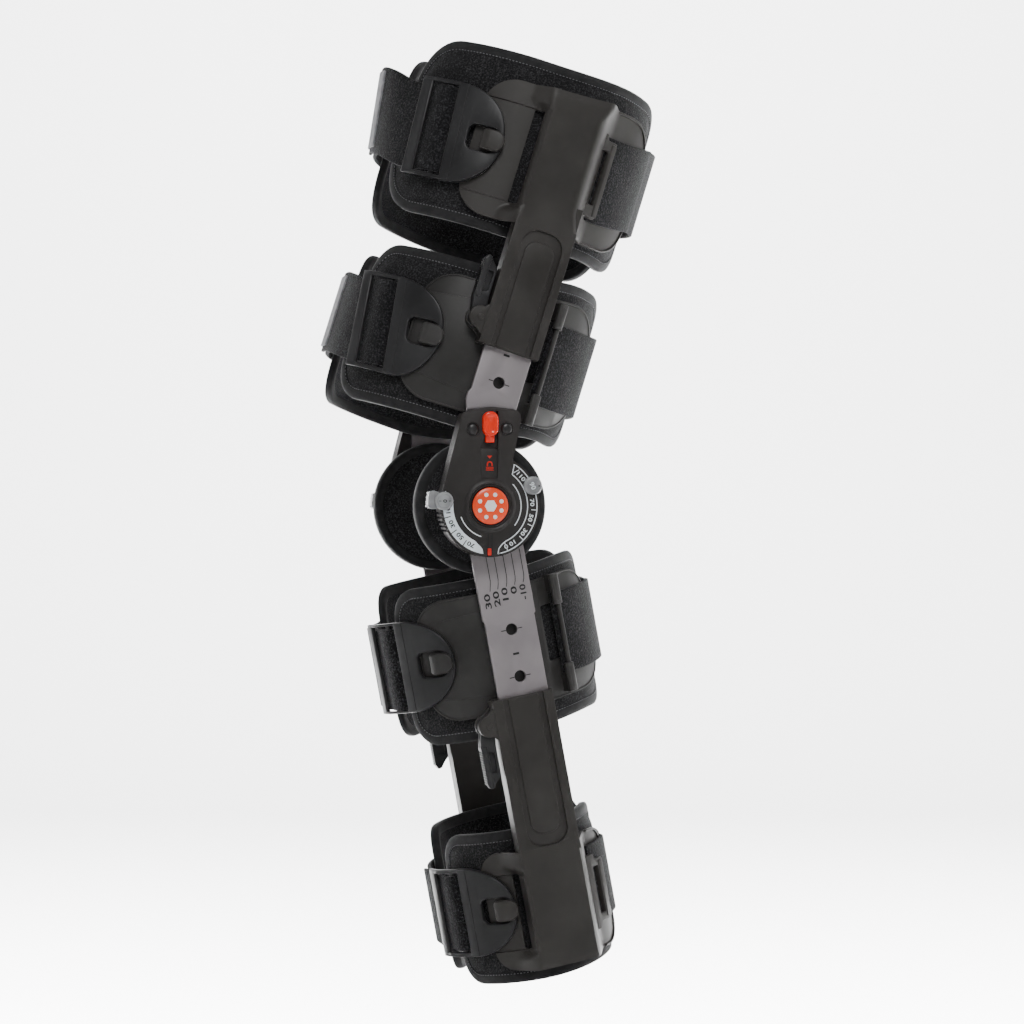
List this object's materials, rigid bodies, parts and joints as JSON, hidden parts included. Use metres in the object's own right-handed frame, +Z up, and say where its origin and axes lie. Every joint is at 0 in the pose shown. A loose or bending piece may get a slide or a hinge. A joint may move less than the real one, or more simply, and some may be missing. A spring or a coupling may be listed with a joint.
{
  "type": "hinged knee brace",
  "caption": "Hinged post-operative knee brace: telescoping side bars with range-of-motion dials, padded cuffs and wide straps for thigh and calf.",
  "frame": {"origin": "on the knee's bending axis, midway between the two side hinges", "axes": "+Z up along the standing leg, -X to the front of the knee, -Y to the outer side"},
  "size_m": [0.2064, 0.1668, 0.5572],
  "materials": {
    "bar": "satin anodised, warm grey",
    "shell": "moulded nylon with a fine spark-eroded texture",
    "dial": "moulded, low sheen",
    "buckle": "moulded, low sheen",
    "slider": "moulded, red-orange",
    "badge": "domed, orange and white",
    "stop": "translucent grey",
    "foam": "plush laminate over foam, bound edge",
    "strap": "brushed loop strap",
    "tab": "grey hook tab"
  },
  "bodies": {
    "thigh_section": {"thigh_bar_lateral": "bar", "thigh_bar_medial": "bar", "dial_cover_lateral": "dial", "dial_cover_medial": "dial", "badge_lateral": "badge", "badge_medial": "badge", "thigh_plate_lateral": "shell", "thigh_plate_medial": "shell", "knee_pad_lateral": "foam", "knee_pad_medial": "foam", "thigh_mid_pad_lateral": "foam", "thigh_mid_pad_medial": "foam", "thigh_mid_front_strap": "strap", "thigh_mid_back_strap": "strap", "thigh_mid_buckle": "buckle", "thigh_mid_strap_tab": "tab"},
    "thigh_cuff": {"thigh_shell_lateral": "shell", "thigh_shell_medial": "shell", "thigh_top_pad_lateral": "foam", "thigh_top_pad_medial": "foam", "thigh_top_front_strap": "strap", "thigh_top_back_strap": "strap", "thigh_top_buckle": "buckle", "thigh_top_strap_tab": "tab"},
    "calf_section": {"calf_bar_lateral": "bar", "calf_bar_medial": "bar", "calf_plate_lateral": "shell", "calf_plate_medial": "shell", "calf_mid_pad_lateral": "foam", "calf_mid_pad_medial": "foam", "calf_mid_front_strap": "strap", "calf_mid_back_strap": "strap", "calf_mid_buckle": "buckle"},
    "calf_cuff": {"calf_shell_lateral": "shell", "calf_shell_medial": "shell", "calf_low_pad_lateral": "foam", "calf_low_pad_medial": "foam", "calf_low_front_strap": "strap", "calf_low_back_strap": "strap", "calf_low_buckle": "buckle"},
    "thigh_lever_lateral": {"thigh_lever_lateral": "shell"},
    "thigh_lever_medial": {"thigh_lever_medial": "shell"},
    "calf_lever_lateral": {"calf_lever_lateral": "shell"},
    "calf_lever_medial": {"calf_lever_medial": "shell"},
    "lock_slider_lateral": {"lock_slider_lateral": "slider"},
    "lock_slider_medial": {"lock_slider_medial": "slider"},
    "flexion_stop_lateral": {"flexion_stop_lateral": "stop"},
    "flexion_stop_medial": {"flexion_stop_medial": "stop"},
    "extension_stop_lateral": {"extension_stop_lateral": "stop"},
    "extension_stop_medial": {"extension_stop_medial": "stop"}
  },
  "joints": [
    {"name": "knee_flexion", "type": "hinge", "parent": "thigh_section", "child": "calf_section", "pos_m": [0, 0, 0], "axis": [0, -1, 0], "range_deg": [-26, 56]},
    {"name": "thigh_length", "type": "slide", "parent": "thigh_section", "child": "thigh_cuff", "axis": [0.3007, 0, 0.9537], "range_m": [-0.008, 0.07]},
    {"name": "calf_length", "type": "slide", "parent": "calf_section", "child": "calf_cuff", "axis": [0.1857, 0, -0.9826], "range_m": [-0.028, 0.056]},
    {"name": "thigh_latch_lateral", "type": "hinge", "parent": "thigh_cuff", "child": "thigh_lever_lateral", "pos_m": [-0.00618, -0.077, 0.10873], "axis": [0, -1, 0], "range_deg": [0, 30]},
    {"name": "calf_latch_lateral", "type": "hinge", "parent": "calf_cuff", "child": "calf_lever_lateral", "pos_m": [0.00246, -0.066, -0.12776], "axis": [0, 1, 0], "range_deg": [0, 30]},
    {"name": "hinge_lock_lateral", "type": "slide", "parent": "thigh_section", "child": "lock_slider_lateral", "axis": [0, 0, -1], "range_m": [0, 0.007]},
    {"name": "flexion_limit_lateral", "type": "hinge", "parent": "thigh_section", "child": "flexion_stop_lateral", "pos_m": [0, -0.077, 0], "axis": [0, -1, 0], "range_deg": [-90, 20]},
    {"name": "extension_limit_lateral", "type": "hinge", "parent": "thigh_section", "child": "extension_stop_lateral", "pos_m": [0, -0.077, 0], "axis": [0, -1, 0], "range_deg": [-10, 70]},
    {"name": "thigh_latch_medial", "type": "hinge", "parent": "thigh_cuff", "child": "thigh_lever_medial", "pos_m": [-0.00618, 0.077, 0.10873], "axis": [0, -1, 0], "range_deg": [0, 30]},
    {"name": "calf_latch_medial", "type": "hinge", "parent": "calf_cuff", "child": "calf_lever_medial", "pos_m": [0.00246, 0.066, -0.12776], "axis": [0, 1, 0], "range_deg": [0, 30]},
    {"name": "hinge_lock_medial", "type": "slide", "parent": "thigh_section", "child": "lock_slider_medial", "axis": [0, 0, -1], "range_m": [0, 0.007]},
    {"name": "flexion_limit_medial", "type": "hinge", "parent": "thigh_section", "child": "flexion_stop_medial", "pos_m": [0, 0.077, 0], "axis": [0, -1, 0], "range_deg": [-90, 20]},
    {"name": "extension_limit_medial", "type": "hinge", "parent": "thigh_section", "child": "extension_stop_medial", "pos_m": [0, 0.077, 0], "axis": [0, -1, 0], "range_deg": [-10, 70]}
  ]
}
